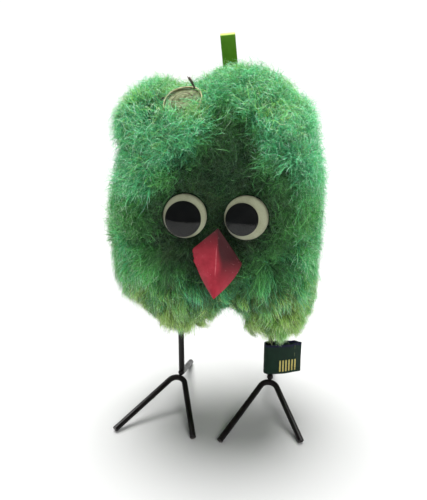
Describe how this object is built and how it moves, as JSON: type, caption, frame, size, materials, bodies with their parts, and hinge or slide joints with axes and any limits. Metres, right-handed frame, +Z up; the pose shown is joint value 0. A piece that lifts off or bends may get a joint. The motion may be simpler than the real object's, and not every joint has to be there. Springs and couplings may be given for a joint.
{
  "type": "fur toy bird",
  "caption": "Shaggy green fur bird with loose-pupil eyes, a folded red beak, a tiny straw hat and bent-wire feet; its pupils roll round and a woven leg label swivels.",
  "frame": {"origin": "the floor point under the middle of the toy's outline", "axes": "+X to the right of someone facing the bird, +Y from its face to its back, +Z up"},
  "size_m": [0.0858, 0.0762, 0.1503],
  "materials": {
    "core_wood": "sawn and rounded, hidden under the fur",
    "green_fur": "long synthetic pile, mint on top and deep green in its partings",
    "beak_leathercloth": "smooth red leathercloth, folded down its middle",
    "green_ribbon": "dull green ribbon, folded over in a loop",
    "straw": "fine woven straw",
    "band_cloth": "dull brown band",
    "feather": "dark feather with a thin pale tip",
    "label_weave": "dark green woven ribbon, plain gold lines",
    "gold_thread": "gold sewing thread",
    "painted_wire": "brown-black paint, half gloss",
    "eye_white": "cream-white plastic",
    "clear_dome": "clear formed plastic",
    "pupil_black": "gloss black plastic"
  },
  "bodies": {
    "bird": {"body_core": "core_wood", "fur_cover": "green_fur", "beak": "beak_leathercloth", "tail_ribbon": "green_ribbon", "straw_hat": "straw", "hat_band": "band_cloth", "hat_feather": "feather", "left_leg_wire": "painted_wire", "left_toe_wire": "painted_wire", "left_ankle_weld": "painted_wire", "left_eye_back": "eye_white", "left_eye_dome": "clear_dome", "right_leg_wire": "painted_wire", "right_toe_wire": "painted_wire", "right_ankle_weld": "painted_wire", "right_eye_back": "eye_white", "right_eye_dome": "clear_dome"},
    "left_disc": {"left_pupil": "pupil_black"},
    "right_disc": {"right_pupil": "pupil_black"},
    "leg_label": {"label": "label_weave", "label_stitches": "gold_thread"}
  },
  "joints": [
    {"name": "left_pupil_roll", "type": "hinge", "parent": "bird", "child": "left_disc", "pos_m": [-0.00767, -0.02797, 0.0934], "axis": [0, -0.9511, 0.309], "continuous": true},
    {"name": "right_pupil_roll", "type": "hinge", "parent": "bird", "child": "right_disc", "pos_m": [0.01353, -0.02797, 0.0934], "axis": [0, -0.9511, 0.309], "continuous": true},
    {"name": "label_swivel", "type": "hinge", "parent": "bird", "child": "leg_label", "pos_m": [0.02313, 0.00203, 0.022], "axis": [0, 0, 1], "continuous": true}
  ]
}
